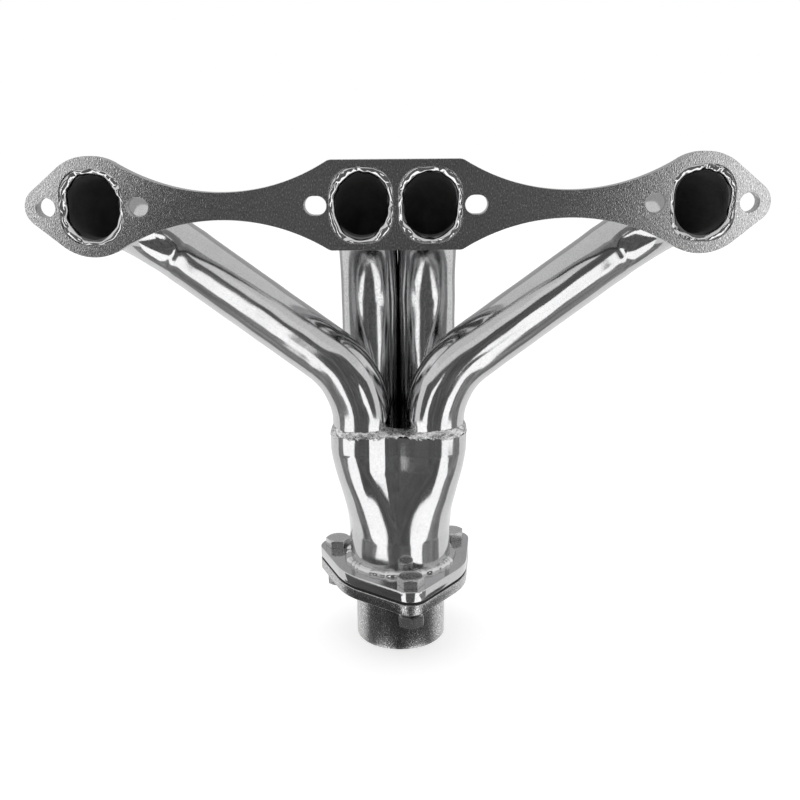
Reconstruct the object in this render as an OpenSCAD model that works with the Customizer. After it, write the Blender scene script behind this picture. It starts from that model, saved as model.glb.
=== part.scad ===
// Four-into-one exhaust manifold for one bank of an eight-cylinder engine.
// Millimetres. X runs along the head flange, +Y points away from the cylinder head, +Z is up.
// The origin is the middle of the machined face of the head flange, on the line of its bolt holes.

/* [Head flange] */
// Thickness of the flange plate
flange_t = 9.5; // [7:0.5:14]
// Distance from the middle of the flange to an outer port
outer_port_x = 195.6; // [180:0.1:210]
// Metal between the two inner ports
port_bridge = 3.6; // [3:0.1:8]
// Width of a port opening in the flange
port_w = 41; // [38:0.5:42]
// Height of a port opening in the flange
port_h = 48.4; // [45:0.1:52]
// Corner radius of a port opening
port_corner_r = 17; // [10:0.5:18.5]
// Metal around an outer port
lobe_margin = 7.8; // [5:0.1:12]
// Metal above and below an inner port
block_margin = 4.4; // [3:0.1:8]
// Distance from the middle of the flange to the narrowest place of an arm
waist_x = 112; // [105:0.5:118]
// Height of an arm at its narrowest place
waist_h = 17.4; // [15:0.1:24]

/* [Head bolts] */
// Metal between a port and a slot beside it
slot_web = 1.65; // [1.2:0.05:4]
// Diameter of the round holes at the two ends
end_hole_d = 12.6; // [10:0.1:14]
// Height of the four slotted holes
slot_h = 12.2; // [10:0.1:13]
// Length of the four slotted holes
slot_l = 14.5; // [13:0.1:15]
// Metal around the round hole at each end
tip_margin = 7; // [5:0.1:10]

/* [Primary tubes] */
// Outside diameter of a primary tube
tube_od = 41.3; // [38:0.1:43]
// Wall of a primary tube
tube_wall = 1.65; // [1.2:0.05:2.5]
// Depth of the tube end below the flange face
tube_inset = 3.5; // [2:0.1:5]
// Width of the weld between a tube end and its port
port_weld_w = 1.8; // [1.2:0.1:2.5]
// Length of straight tube behind the flange before the bend
stub_l = 7.5; // [7.5:0.5:15]
// Bend radius of the elbows behind the outer ports
elbow_r = 33.5; // [28:0.5:50]
// Bend radius where the outer tubes turn down
turn_r = 58; // [45:0.5:64]
// Height above the collector mouth of the corner where the outer tubes turn down
turn_rise = 38; // [36:0.5:60]
// Length of tube inside the collector mouth
tube_lap = 17; // [10:0.5:19]
// Width of the ground-down weld at each end of a bend
seam_w = 3; // [2:0.5:4]
// How far that weld stands proud of the tube
seam_proud = 0.3; // [0.1:0.1:0.6]
// Gap between the two outer tubes at the collector mouth
front_gap = 9.7; // [4:0.1:14]
// Gap between the two inner tubes
back_gap = 1; // [0.8:0.1:3]
// Gap between the front pair and the back pair of tubes
row_gap = 1.1; // [0.8:0.1:4]

/* [Collector] */
// Drop from the bolt line to the collector mouth
collector_drop = 159; // [145:0.5:190]
// Distance from the flange face to the collector axis
collector_y = 50; // [44:0.5:60]
// Wall of the collector shell
collector_wall = 1.6; // [1.2:0.1:2.5]
// Space between a tube and the collector mouth around it
mouth_clearance = 0.35; // [0.3:0.05:0.8]
// Distance from the collector axis to the groove between two tubes
groove_reach = 41; // [37:0.5:42]
// Length of the four-lobed mouth
mouth_l = 20; // [19.5:0.5:30]
// Length over which the lobes merge into the round neck
merge_l = 62; // [45:1:90]
// Length of the round neck above its flange
neck_l = 23; // [15:0.5:50]
// Outside diameter of the neck
neck_d = 75; // [66:0.5:78]
// Thickness of the plate between the four tubes
star_t = 3; // [2:0.5:6]
// Height of the weld around the mouth
rim_weld_h = 3; // [2:0.5:5]
// How far the weld stands out from the mouth
rim_weld_out = 0.8; // [0.4:0.1:2]

/* [Outlet joint] */
// Thickness of each outlet flange
outlet_flange_t = 8; // [6:0.5:12]
// Metal of an outlet flange around the neck
outlet_margin = 13; // [10:0.5:18]
// Metal of an outlet flange around the corners of a bolt head
corner_margin = 3.7; // [2:0.1:6]
// Space between a bolt head and the weld around the neck
head_clearance = 1.2; // [0.5:0.1:6]
// Angle of the front bolt, seen from above
front_bolt_angle = -81; // [-100:0.5:-70]
// Thickness of the gasket
gasket_t = 2; // [1:0.25:4]
// How far the gasket edge stays inside the flange edge
gasket_inset = 0.8; // [0.2:0.1:2]
// Leg of the weld around the neck
neck_weld_leg = 4.5; // [3:0.1:8]
// Outside diameter of the exhaust pipe that slips into the outlet
pipe_d = 63.5; // [57:0.1:65]
// Radial clearance around that pipe
pipe_clearance = 0.25; // [0.1:0.05:0.6]
// Wall of the outlet tube
outlet_wall = 1.6; // [1.2:0.1:2.5]
// Length of the outlet tube below its flange
outlet_l = 44; // [30:1:90]
// Depth of the weld at the top end of the outlet tube
outlet_weld_h = 2.5; // [1.5:0.1:4]

/* [Fasteners] */
// Diameter of the outlet bolts
bolt_d = 10; // [8:0.5:12]
// Size across the flats of heads and nuts
hex_af = 17; // [15:0.5:19]
// Height of a bolt head
head_h = 6.4; // [5:0.1:9]
// Height of a nut
nut_h = 8.4; // [6:0.1:11]
// Radial clearance of the bolt holes in flanges and gasket
hole_clearance = 0.5; // [0.2:0.05:1]
// Radial running clearance of a nut on its bolt
nut_clearance = 0.05; // [0.02:0.01:0.1]
// Radial clearance of a washer on its bolt
washer_clearance = 0.1; // [0.05:0.01:0.3]
// How far a flat washer reaches past the flats of its nut
washer_lip = 1.5; // [0.5:0.1:3]
// Thickness of a flat washer
washer_t = 2; // [1:0.1:3]
// Width of the ring of a spring lock washer
lock_w = 3.7; // [2.5:0.1:4.5]
// Thickness of a spring lock washer
lock_t = 2.6; // [1.5:0.1:3.5]
// Width of the split in a lock washer
lock_split = 1.6; // [0.8:0.1:2.5]
// Bolt thread that shows below the nut
bolt_end = 1.5; // [1:0.5:12]

/* [Hidden] */
$fn = 96;

left = -1;
right = 1;
cut = 1;
fit = 0.1;
seat_gap = 0.02;

// Head flange
inner_port_x = (port_w + port_bridge) / 2;
lobe_r = port_h / 2 + lobe_margin;
block_h = port_h + 2 * block_margin;
tip_r = end_hole_d / 2 + tip_margin;
bolt_offset = (port_w + slot_l) / 2 + slot_web;
slot_places = [outer_port_x - bolt_offset, inner_port_x + bolt_offset];

// The hollow curve of an arm touches a circle that lies a little inside the lobe
lobe_seat_r = lobe_r - fit;
waist_gap = outer_port_x - waist_x;
waist_r = (waist_gap * waist_gap + waist_h * waist_h / 4 - lobe_seat_r * lobe_seat_r)
    / (2 * lobe_seat_r - waist_h);
arm_end_x = outer_port_x - lobe_seat_r * waist_gap / (waist_r + lobe_seat_r);

// Tube ends, pressed to an oval that leaves room for the weld
tube_r = tube_od / 2;
tube_bore_r = tube_r - tube_wall;
tube_mid_r = tube_r - tube_wall / 2;
end_w = port_w - 2 * port_weld_w;
end_h = port_h - 2 * port_weld_w;
round_y = flange_t + fit;
bend_y = flange_t + stub_l;
seam_gap = fit;

// Tube places in the collector mouth, seen from above about the collector axis
front_x = tube_r + front_gap / 2;
back_x = tube_r + back_gap / 2;
row_y = tube_r + row_gap / 2;
tube_centres = [[-front_x, -row_y], [front_x, -row_y], [-back_x, row_y], [back_x, row_y]];
mouth_z = -collector_drop;

// Collector
neck_r = neck_d / 2;
lobe_bore_r = tube_r + mouth_clearance;
ring_points = 72;
merge_steps = 8;
blend_power = 14;
flange_top_z = mouth_z - mouth_l - merge_l - neck_l;
neck_end_z = flange_top_z - outlet_flange_t / 2;

// Outlet joint, from the top down
flange_bottom_z = flange_top_z - outlet_flange_t;
gasket_bottom_z = flange_bottom_z - gasket_t;
outlet_flange_z = gasket_bottom_z - outlet_flange_t;
outlet_end_z = outlet_flange_z - outlet_l;
outlet_bore_r = pipe_d / 2 + pipe_clearance;
outlet_tube_r = outlet_bore_r + outlet_wall;
outlet_flange_r = neck_r + outlet_margin;

// Fastener stack under the outlet flange
bolt_r = bolt_d / 2;
hole_r = bolt_r + hole_clearance;
hex_r = hex_af / 2 / cos(30);
outlet_corner_r = hex_r + corner_margin;
bolt_circle_r = neck_r + fit + neck_weld_leg + head_clearance + hex_af / 2;
washer_bore_r = bolt_r + washer_clearance;
lock_r = washer_bore_r + lock_w;
washer_z = outlet_flange_z - seat_gap - washer_t;
lock_z = washer_z - lock_t;
nut_z = lock_z - seat_gap;
bolt_tip_z = nut_z - nut_h - bolt_end;
front = 0;
right_bolt = 1;
left_bolt = 2;

// Colours
polished = [0.80, 0.80, 0.82];
satin = [0.42, 0.42, 0.44];
bead = [0.70, 0.70, 0.72];
zinc = [0.62, 0.63, 0.64];
graphite = [0.10, 0.10, 0.11];

function unit(v) = v / norm(v);
function across(v) = unit(cross(v, abs(v.z) < 0.9 * norm(v) ? [0, 0, 1] : [1, 0, 0]));
function total(list, i = 0) = i < len(list) ? list[i] + total(list, i + 1) : 0;

// A frame whose local X and Y lie along two given directions
module place(origin, x_axis, y_axis) {
    z_axis = cross(x_axis, y_axis);
    rows = [for (k = [0:2]) [x_axis[k], y_axis[k], z_axis[k], origin[k]]];
    multmatrix(concat(rows, [[0, 0, 0, 1]]))
        children();
}

// A flat outline in X and Z, made solid from y towards +Y
module plate(y, depth) {
    translate([0, y + depth, 0])
        rotate([90, 0, 0])
            linear_extrude(depth)
                children();
}

module rounded_rect(w, h, r) {
    square([w - 2 * r, h], center = true);
    square([w, h - 2 * r], center = true);
    for (sx = [-1, 1], sy = [-1, 1])
        translate([sx * (w / 2 - r), sy * (h / 2 - r)])
            circle(r);
}

// An upright slot with round ends
module oval(w, h) {
    square([w, h - w], center = true);
    for (s = [-1, 1])
        translate([0, s * (h - w) / 2])
            circle(w / 2);
}

// Two discs of radius big and small, joined along their common tangents
module tangent_lobe(big, small, distance) {
    a = acos((big - small) / distance);
    side = [cos(a), sin(a)];
    from = (big - fit) * side;
    to = [distance, 0] + (small - fit) * side;
    circle(big);
    translate([distance, 0])
        circle(small);
    polygon([from, [from.x, -from.y], [to.x, -to.y], to]);
}

// A tube along a route: straight between the corners, bent at each corner, with a weld at each seam
module tube_run(route, bend_r) {
    last = len(route) - 1;
    legs = [for (i = [0:last - 1]) unit(route[i + 1] - route[i])];
    turns = [for (i = [0:last]) i == 0 || i == last ? 0 : acos(legs[i - 1] * legs[i])];
    setback = [for (i = [0:last]) bend_r[i] * tan(turns[i] / 2)];
    for (i = [0:last - 1]) {
        from = route[i] + (setback[i] + (i > 0 ? seam_gap : 0)) * legs[i];
        to = route[i + 1] - (setback[i + 1] + (i + 1 < last ? seam_gap : 0)) * legs[i];
        if ((to - from) * legs[i] > 0)
            hollow_bar(from, legs[i], norm(to - from), tube_r, tube_bore_r);
    }
    for (i = [1:last - 1]) {
        inward = unit(legs[i] - (legs[i] * legs[i - 1]) * legs[i - 1]);
        start = route[i] - setback[i] * legs[i - 1];
        end = route[i] + setback[i] * legs[i];
        place(start + bend_r[i] * inward, -inward, legs[i - 1])
            rotate_extrude(angle = turns[i])
                translate([bend_r[i], 0])
                    annulus(tube_r, tube_bore_r);
        if (norm(start - route[i - 1]) > seam_w)
            seam(start, legs[i - 1]);
        seam(end, legs[i]);
    }
}

module annulus(outer_r, inner_r) {
    difference() {
        circle(outer_r);
        circle(inner_r);
    }
}

module hollow_bar(from, direction, length, outer_r, inner_r) {
    side = across(direction);
    place(from, side, cross(direction, side))
        linear_extrude(length)
            annulus(outer_r, inner_r);
}

module seam(middle, direction) {
    from = middle - direction * seam_w / 2;
    hollow_bar(from, direction, seam_w, tube_r + seam_proud, tube_mid_r);
}

// Where a tube that comes from one point starts to bend at a corner towards another
function bend_start(from, corner, to, r) =
    let (leg = unit(corner - from))
    corner - r * tan(acos(leg * unit(to - corner)) / 2) * leg;

// The route of an outer elbow: out of its port stub and round to the slant
outer_port = [outer_port_x, round_y, 0];
elbow_corner = [outer_port_x, bend_y + elbow_r, 0];
turn_corner = [front_x, collector_y - row_y, mouth_z + turn_rise];
slant = unit(turn_corner - elbow_corner);
elbow_start = bend_start(outer_port, elbow_corner, turn_corner, elbow_r);
elbow_end = elbow_corner + (norm(elbow_corner - elbow_start) + seam_w / 2) * slant;
elbow_route = [elbow_start, elbow_corner, elbow_end];
elbow_bends = [0, elbow_r, 0];

// The route of an outer tube: slanting down from its elbow to the front row, down into the collector
outer_route = [
    elbow_end + seam_gap * slant,
    turn_corner,
    [front_x, collector_y - row_y, mouth_z - tube_lap]
];
outer_bends = [0, turn_r, 0];

// The route of an inner tube: out of its port stub and down into the back row
inner_port = [inner_port_x, round_y, 0];
inner_corner = [back_x, collector_y + row_y, 0];
inner_foot = [back_x, collector_y + row_y, mouth_z - tube_lap];
inner_bend_r = inner_corner.y - bend_y;
inner_start = bend_start(inner_port, inner_corner, inner_foot, inner_bend_r);
inner_route = [inner_start, inner_corner, inner_foot];
inner_bends = [0, inner_bend_r, 0];

// The formed end of a right-hand tube: pressed oval in the port, then a step to the round tube
module port_stub(port, bend) {
    way = unit(bend - port);
    end = bend - seam_gap * way;
    color(polished) {
        translate([port.x, 0, 0]) {
            plate(tube_inset, flange_t - tube_inset)
                difference() {
                    oval(end_w, end_h);
                    oval(end_w - 2 * tube_wall, end_h - 2 * tube_wall);
                }
            plate(flange_t - fit, tube_wall)
                difference() {
                    union() {
                        oval(end_w, end_h);
                        circle(tube_mid_r);
                    }
                    intersection() {
                        oval(end_w - 2 * tube_wall, end_h - 2 * tube_wall);
                        circle(tube_mid_r);
                    }
                }
        }
        hollow_bar(port, way, norm(end - port), tube_r, tube_bore_r);
        hollow_bar(end - way * seam_w / 2, way, seam_w / 2 - fit, tube_r + seam_proud, tube_mid_r);
    }
}

module port_stub_outer_right() { port_stub(outer_port, elbow_start); }
module port_stub_inner_right() { port_stub(inner_port, inner_start); }
module port_stub_outer_left() { mirror([1, 0, 0]) port_stub_outer_right(); }
module port_stub_inner_left() { mirror([1, 0, 0]) port_stub_inner_right(); }

module bent_tube(route, bends) {
    color(polished)
        tube_run(route, bends);
}

module outer_elbow_right() { bent_tube(elbow_route, elbow_bends); }
module outer_tube_right() { bent_tube(outer_route, outer_bends); }
module inner_tube_right() { bent_tube(inner_route, inner_bends); }
module outer_elbow_left() { mirror([1, 0, 0]) outer_elbow_right(); }
module outer_tube_left() { mirror([1, 0, 0]) outer_tube_right(); }
module inner_tube_left() { mirror([1, 0, 0]) inner_tube_right(); }

// Bead that closes the ring between a tube end and its port
module port_weld(x) {
    color(bead)
        translate([x, 0, 0])
            plate(tube_inset / 3, tube_inset * 2 / 3)
                difference() {
                    rounded_rect(port_w - 2 * fit, port_h - 2 * fit, port_corner_r - fit);
                    oval(end_w - 2 * tube_wall, end_h - 2 * tube_wall);
                }
}

module port_weld_outer_left() { port_weld(left * outer_port_x); }
module port_weld_inner_left() { port_weld(left * inner_port_x); }
module port_weld_inner_right() { port_weld(right * inner_port_x); }
module port_weld_outer_right() { port_weld(right * outer_port_x); }

module head_flange_outline() {
    difference() {
        square([2 * arm_end_x, block_h], center = true);
        for (sx = [-1, 1], sz = [-1, 1])
            translate([sx * waist_x, sz * (waist_h / 2 + waist_r)])
                circle(waist_r);
    }
    for (turn = [0, 180])
        rotate(turn)
            translate([outer_port_x, 0])
                tangent_lobe(lobe_r, tip_r, bolt_offset);
}

module head_flange() {
    color(satin)
        difference() {
            plate(0, flange_t)
                head_flange_outline();
            for (x = [outer_port_x, inner_port_x], s = [left, right])
                translate([s * x, 0, 0])
                    plate(-cut, flange_t + 2 * cut)
                        rounded_rect(port_w, port_h, port_corner_r);
            for (s = [left, right])
                translate([s * (outer_port_x + bolt_offset), -cut, 0])
                    rotate([-90, 0, 0])
                        cylinder(h = flange_t + 2 * cut, d = end_hole_d);
            for (x = slot_places, s = [left, right])
                translate([s * x, 0, 0])
                    plate(-cut, flange_t + 2 * cut)
                        rotate(90)
                            oval(slot_h, slot_l);
        }
}

// Distance from the collector axis to the far side of a disc of radius r about c, in direction a
function lobe_reach(c, r, a) =
    let (off = a - atan2(c.y, c.x), miss = norm(c) * sin(off))
    cos(off) <= 0 || abs(miss) >= r ? 0 : norm(c) * cos(off) + sqrt(r * r - miss * miss);

// The four-lobed outline of the mouth: the lobes and the grooves, blended
function mouth_reach(a, r, groove) =
    let (reaches = concat([groove], [for (c = tube_centres) lobe_reach(c, r, a)]))
    pow(total([for (x = reaches) pow(x, blend_power)]), 1 / blend_power);

function ease(t) = t * t * (3 - 2 * t);
function mouth_outline(r, groove) = [
    for (k = [0:ring_points - 1])
        let (a = 360 * k / ring_points, d = mouth_reach(a, r, groove))
        [d * cos(a), d * sin(a)]
];

// Heights of the shell's rings, each with its share of roundness
shell_rings = concat(
    [[mouth_z, 0]],
    [for (i = [0:merge_steps]) [mouth_z - mouth_l - merge_l * i / merge_steps, ease(i / merge_steps)]],
    [[neck_end_z, 1]]
);

// One skin of the shell, as rings of points from the mouth down to the end of the neck
function skin(inset) =
    let (mouth = mouth_outline(lobe_bore_r + collector_wall - inset, groove_reach - inset))
    [for (ring = shell_rings, p = mouth) [
        (p.x * (1 - ring[1]) + unit(p).x * (neck_r - inset) * ring[1]),
        (p.y * (1 - ring[1]) + unit(p).y * (neck_r - inset) * ring[1]),
        ring[0]
    ]];

module collector() {
    n = ring_points;
    rings = len(shell_rings);
    inner = n * rings;
    color(polished)
        translate([0, collector_y, 0])
            polyhedron(
                points = concat(skin(0), skin(collector_wall)),
                faces = concat(
                    [for (i = [0:rings - 2], k = [0:n - 1], half = [0, 1])
                        let (a = i * n + k, b = i * n + (k + 1) % n)
                        half == 0 ? [a, b, a + n] : [b, b + n, a + n]],
                    [for (i = [0:rings - 2], k = [0:n - 1], half = [0, 1])
                        let (a = inner + i * n + k, b = inner + i * n + (k + 1) % n)
                        half == 0 ? [a, a + n, b] : [b, a + n, b + n]],
                    [for (k = [0:n - 1], half = [0, 1])
                        let (a = k, b = (k + 1) % n)
                        half == 0 ? [a, a + inner, b] : [b, a + inner, b + inner]],
                    [for (k = [0:n - 1], half = [0, 1])
                        let (a = inner - n + k, b = inner - n + (k + 1) % n)
                        half == 0 ? [a, b, a + inner] : [b, b + inner, a + inner]]
                )
            );
}

module tube_circles(r) {
    for (c = tube_centres)
        translate(c)
            circle(r);
}

// Plate with four arms that closes the spaces between the tubes in the mouth
module star_plate() {
    color(bead)
        translate([0, collector_y, mouth_z - star_t])
            linear_extrude(star_t)
                difference() {
                    polygon(mouth_outline(tube_r - collector_wall, groove_reach - collector_wall - mouth_clearance));
                    tube_circles(tube_r + fit);
                }
}

// Bead around the mouth, where the tubes go into the collector
module rim_weld() {
    shell_r = lobe_bore_r + collector_wall;
    inner_groove = groove_reach - 2 * collector_wall;
    color(bead)
        translate([0, collector_y, mouth_z])
            linear_extrude(rim_weld_h)
                difference() {
                    polygon(mouth_outline(shell_r + rim_weld_out, groove_reach + rim_weld_out));
                    polygon(mouth_outline(tube_r, inner_groove));
                    tube_circles(tube_r + fit);
                }
}

module on_bolts() {
    for (i = [front, right_bolt, left_bolt])
        at_bolt(i)
            children();
}

// The place of one outlet bolt on the bolt circle, counted from the front one towards the right
module at_bolt(i) {
    translate([0, collector_y])
        rotate(front_bolt_angle + 120 * i)
            translate([bolt_circle_r, 0])
                children();
}

// Outline of an outlet flange: a disc with three rounded ears
module outlet_outline(inset) {
    for (i = [front, right_bolt, left_bolt])
        translate([0, collector_y])
            rotate(front_bolt_angle + 120 * i)
                tangent_lobe(outlet_flange_r - inset, outlet_corner_r - inset, bolt_circle_r);
}

module outlet_plate(z, t, bore_r, inset) {
    difference() {
        translate([0, 0, z])
            linear_extrude(t)
                outlet_outline(inset);
        translate([0, collector_y, z - cut])
            cylinder(h = t + 2 * cut, r = bore_r);
        on_bolts()
            translate([0, 0, z - cut])
                cylinder(h = t + 2 * cut, r = hole_r);
    }
}

module collector_flange() {
    color(polished)
        outlet_plate(flange_bottom_z, outlet_flange_t, neck_r + fit, 0);
}

module neck_weld() {
    color(bead)
        translate([0, collector_y, flange_top_z])
            rotate_extrude()
                translate([neck_r + fit, 0])
                    intersection() {
                        circle(neck_weld_leg);
                        square(neck_weld_leg);
                    }
}

module outlet_gasket() {
    color(graphite)
        outlet_plate(gasket_bottom_z, gasket_t, neck_r - collector_wall, gasket_inset);
}

module outlet_flange() {
    color(zinc)
        outlet_plate(outlet_flange_z, outlet_flange_t, outlet_tube_r + fit, 0);
}

module ring(z, h, outer_r, inner_r) {
    translate([0, 0, z])
        difference() {
            cylinder(h = h, r = outer_r);
            translate([0, 0, -cut])
                cylinder(h = h + 2 * cut, r = inner_r);
        }
}

module outlet_tube() {
    top_z = gasket_bottom_z - outlet_weld_h;
    color(zinc)
        translate([0, collector_y, 0])
            ring(outlet_end_z, top_z - outlet_end_z, outlet_tube_r, outlet_bore_r);
}

module outlet_weld() {
    color(bead)
        translate([0, collector_y, 0])
            ring(gasket_bottom_z - outlet_weld_h, outlet_weld_h, outlet_tube_r, outlet_bore_r);
}

// A hexagon with its corners turned off at the top
module hex_block(h) {
    intersection() {
        cylinder(h = h, r = hex_r, $fn = 6);
        cylinder(h = h, r1 = hex_af / 2 + 2 * h, r2 = hex_af / 2);
    }
}

module bolt(i) {
    color(polished)
        at_bolt(i) {
            translate([0, 0, bolt_tip_z])
                cylinder(h = flange_top_z - bolt_tip_z, r = bolt_r);
            translate([0, 0, flange_top_z])
                rotate(30)
                    hex_block(head_h);
        }
}

module bolt_front() { bolt(front); }
module bolt_right() { bolt(right_bolt); }
module bolt_left() { bolt(left_bolt); }

module flat_washer(i) {
    color(zinc)
        at_bolt(i)
            ring(washer_z, washer_t, hex_af / 2 + washer_lip, washer_bore_r);
}

module flat_washer_front() { flat_washer(front); }
module flat_washer_right() { flat_washer(right_bolt); }
module flat_washer_left() { flat_washer(left_bolt); }

// A ring with one slanting cut
module lock_washer(i) {
    color(zinc)
        at_bolt(i)
            difference() {
                ring(lock_z, lock_t, lock_r, washer_bore_r);
                translate([lock_r, 0, lock_z + lock_t / 2])
                    rotate([45, 0, 0])
                        cube([2 * lock_r, lock_split, 4 * lock_t], center = true);
            }
}

module lock_washer_front() { lock_washer(front); }
module lock_washer_right() { lock_washer(right_bolt); }
module lock_washer_left() { lock_washer(left_bolt); }

module nut(i) {
    color(zinc)
        at_bolt(i)
            difference() {
                translate([0, 0, nut_z])
                    mirror([0, 0, 1])
                        hex_block(nut_h);
                translate([0, 0, nut_z - nut_h - cut])
                    cylinder(h = nut_h + 2 * cut, r = bolt_r + nut_clearance);
            }
}

module nut_front() { nut(front); }
module nut_right() { nut(right_bolt); }
module nut_left() { nut(left_bolt); }

head_flange();
port_stub_outer_left();
port_stub_inner_left();
port_stub_inner_right();
port_stub_outer_right();
outer_elbow_left();
outer_elbow_right();
outer_tube_left();
inner_tube_left();
inner_tube_right();
outer_tube_right();
port_weld_outer_left();
port_weld_inner_left();
port_weld_inner_right();
port_weld_outer_right();
collector();
star_plate();
rim_weld();
collector_flange();
neck_weld();
outlet_gasket();
outlet_flange();
outlet_tube();
outlet_weld();
bolt_front();
bolt_right();
bolt_left();
flat_washer_front();
flat_washer_right();
flat_washer_left();
lock_washer_front();
lock_washer_right();
lock_washer_left();
nut_front();
nut_right();
nut_left();
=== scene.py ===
"""Looks of the exhaust manifold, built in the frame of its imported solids."""

import math
from collections import namedtuple

import bmesh
import bpy
import numpy as np
from mathutils import Matrix, Vector
from mathutils.geometry import tessellate_polygon


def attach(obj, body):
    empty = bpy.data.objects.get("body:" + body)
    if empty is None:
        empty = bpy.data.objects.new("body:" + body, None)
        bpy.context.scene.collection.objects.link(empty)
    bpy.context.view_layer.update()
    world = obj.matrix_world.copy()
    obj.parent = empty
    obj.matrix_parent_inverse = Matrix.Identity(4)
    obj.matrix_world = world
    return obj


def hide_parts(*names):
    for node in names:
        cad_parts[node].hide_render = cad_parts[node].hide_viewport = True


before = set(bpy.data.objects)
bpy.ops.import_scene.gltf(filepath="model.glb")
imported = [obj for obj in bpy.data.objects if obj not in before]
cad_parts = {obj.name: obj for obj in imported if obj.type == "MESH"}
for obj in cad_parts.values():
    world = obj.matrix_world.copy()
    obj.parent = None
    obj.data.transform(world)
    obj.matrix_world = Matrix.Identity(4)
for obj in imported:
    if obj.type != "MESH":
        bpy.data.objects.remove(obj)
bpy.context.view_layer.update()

MM = 0.001
FULL_TURN = 2 * math.pi
LEFT, RIGHT = -1, 1
SIDES = {"left": LEFT, "right": RIGHT}

# First seed of each uneven piece; a port weld's is ten times its number
SEEDS = {"outer_tube": 20, "inner_tube": 40, "shell": 50, "rim": 60, "neck": 70, "outlet": 80}

# Angles in degrees above which an edge is shaded sharp
EDGE_CREASE, HEX_CREASE, PIPE_CREASE, SOFT_CREASE = 35.0, 28, 50, 60

# Head flange, in millimetres
FLANGE_T, FLANGE_EDGE = 9.5, 0.22
OUTER_PORT_X, INNER_PORT_X = 195.6, 22.3
PORT_W, PORT_H, PORT_CORNER_R = 41.0, 48.4, 17.0
BLOCK_H, BLOCK_CORNER_R = 57.2, 6.0
LOBE_R, TIP_R = 32.0, 13.3
WAIST_X, WAIST_H, WAIST_R = 112.0, 17.4, 130.3
BOLT_OFFSET = 29.4
END_HOLE_R = 6.3
SLOT_H, SLOT_L, SLOT_FLAT = 12.2, 14.5, 0.02
ARC_GAP = 1  # degrees left out where two arcs of the outline meet
PORTS = {
    "outer_left": -OUTER_PORT_X,
    "inner_left": -INNER_PORT_X,
    "inner_right": INNER_PORT_X,
    "outer_right": OUTER_PORT_X,
}

# Primary tubes
TUBE_R, TUBE_WALL, TUBE_AROUND = 20.65, 1.65, 88
END_W, END_H = 37.4, 44.8
TUBE_INSET = 3.5
BEND_Y = 17.0
ELBOW_R, TURN_R, INNER_R, EASE_R = 51.0, 58.0, 62.0, 82.0
TURN_RISE, TUBE_LAP = 38.0, 17.0
ELBOW_Y, ELBOW_DROP, ELBOW_L, SEAM_GAP = 66.0, 5.0, 92.0, 0.03
FRONT_X, BACK_X, ROW_Y = 25.5, 20.5, 21.2
INNER_SHIFT_X, INNER_SHIFT_Y, INNER_EASE_Z = 0.9, 37.7, -45
OUTER_STEP, INNER_STEP = 1.1, 1.3
WAVE_H, WAVE_L = 0.07, 26

# Swells of a tube: place along it, length and height
SEAM_SWELLS = [(0, 5, 0.25), (-22, 9, 0.2)]
TURN_SWELL, INNER_SWELL = (150, 12, 0.3), (108, 8, 0.15)
SWELL_DRIFT, SWELL_DRIFT_L = 0.12, 18

# Collector
COLLECTOR_Y = 50.0
COLLECTOR_AXIS = (0, COLLECTOR_Y)
MOUTH_Z, MOUTH_L, MERGE_L = -159.0, 13.0, 68.0
MERGE_TOP_Z = MOUTH_Z - MOUTH_L
MERGE_END_Z = MERGE_TOP_Z - MERGE_L
FLANGE_TOP_Z, NECK_END_Z = -264.0, -268.0
SHELL_LOBE_R, SHELL_WALL, RIM_FILL = 22.6, 1.6, 31.0
SHELL_AROUND, SHELL_WAVE_H, SHELL_WAVE_L = 288, 0.10, 22
NECK_R = 37.5
CREASE_TOP_Z, CREASE_END_Z = -184.0, -236.0
TUBE_CENTRES = np.array([
    [-FRONT_X, -ROW_Y], [FRONT_X, -ROW_Y], [-BACK_X, ROW_Y], [BACK_X, ROW_Y]])

# Dished panels of the collector: the angle each faces with its half width, and the dish across it
PANELS = ((-90, FRONT_X), (0, ROW_Y), (90, BACK_X), (180, ROW_Y))
PANEL_DEPTH, PANEL_FADE = 4.9, 1.6
PANEL_SHARES = (-0.88, -0.80, -0.42, -0.30, -0.12, 0.02, 0.85, 0.97)
PANEL_FALLS = (0, 0.06, 0.92, 1, 1, 0.94, 0.05, 0)

# Section of a port weld: share of the way from port to tube, and depth
PORT_WELD_ROWS = (
    (0, 6.0), (0, 1.6), (0.08, 1.0), (0.25, 0.75), (0.45, 0.8), (0.62, 1.1),
    (0.8, 1.7), (0.93, 2.6), (1.0, 3.6), (0.97, 4.8), (0.75, 6.0))
PORT_WELD_LAP, PORT_WELD_PROUD, PORT_WELD_AROUND = 0.15, 0.2, 260
PORT_WELD_MEAN_R, PORT_WELD_SINK = 20, 0.1
SAG_H, SAG_L, FLOW_H, FLOW_L, RIPPLE_H, RIPPLE_L = 0.9, 22, 0.5, 9, 0.3, 5.5

# Section of the rim weld: share of the way from tubes to shell, share of the height, and offset
RIM_WELD_ROWS = (
    (0, 1.0, -0.6), (0.04, 1.0, 0.1), (0.3, 0.93, 0.1), (0.55, 0.75, 0.15), (0.8, 0.5, 0.2),
    (0.95, 0.25, 0.2), (1.0, 0.08, 0.2), (1.0, 0.0, 0.05), (1.0, 0.05, -0.7), (0.6, 0.2, -0.7))
RIM_WELD_TOP, RIM_WELD_LOW, RIM_WELD_MIN_W, RIM_WELD_AROUND = 4.8, -0.6, 1.5, 520
RIM_WELD_RISE, RIM_WELD_RAGGED, RIM_WELD_RIPPLE = 1.2, 1.5, 0.3

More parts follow.
